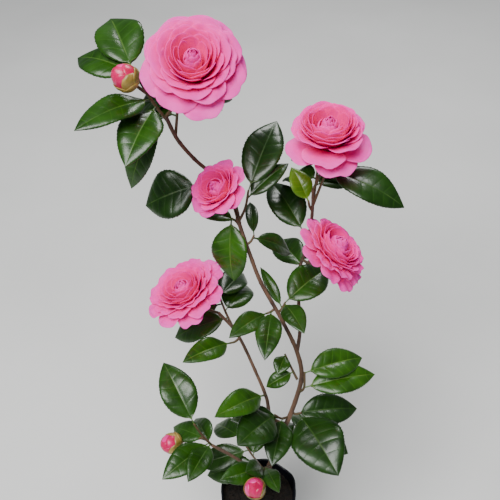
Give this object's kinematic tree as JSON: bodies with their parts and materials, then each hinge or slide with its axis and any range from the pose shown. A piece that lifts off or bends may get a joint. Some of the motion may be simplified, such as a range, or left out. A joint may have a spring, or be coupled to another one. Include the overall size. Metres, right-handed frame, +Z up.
{
  "type": "camellia shrub",
  "caption": "Young potted shrub with rosette double blooms, plump buds and glossy oval leaves on a slender bent stem, standing in a soft round nursery bag.",
  "frame": {"origin": "middle of the nursery bag's flat underside", "axes": "+Z up along the shrub, +X to the right and +Y away as the shrub is seen from its front"},
  "size_m": [0.2674, 0.2381, 0.6318],
  "materials": {
    "bag": "crinkled polythene film, soft sheen",
    "soil": "moist crumbs",
    "bark": "fine ridged bark",
    "petal": "soft satin petal",
    "leaf": "glossy, wet"
  },
  "bodies": {
    "root": {"nursery_bag": "bag", "soil": "soil", "main_stem": "bark", "crown_bough": "bark", "right_bough": "bark", "left_bough": "bark", "low_bough": "bark", "top_bloom": "petal", "small_bloom": "petal", "left_bloom": "petal", "upper_right_bloom": "petal", "right_bloom": "petal", "top_left_spray": "leaf", "crown_left_spray": "leaf", "upper_middle_spray": "leaf", "stem_left_spray": "leaf", "stem_right_spray": "leaf", "middle_left_spray": "leaf", "middle_right_spray": "leaf", "right_top_spray": "leaf", "right_crown_spray": "leaf", "right_middle_spray": "leaf", "left_bough_spray": "leaf", "left_low_spray": "leaf", "right_low_spray": "leaf", "stem_low_spray": "leaf", "right_front_spray": "leaf", "front_spray": "leaf", "foot_spray": "leaf", "low_left_spray": "leaf", "crown_back_spray": "leaf", "right_back_spray": "leaf", "right_side_spray": "leaf", "left_back_spray": "leaf", "low_right_back_spray": "leaf", "low_left_back_spray": "leaf"}
  },
  "joints": []
}
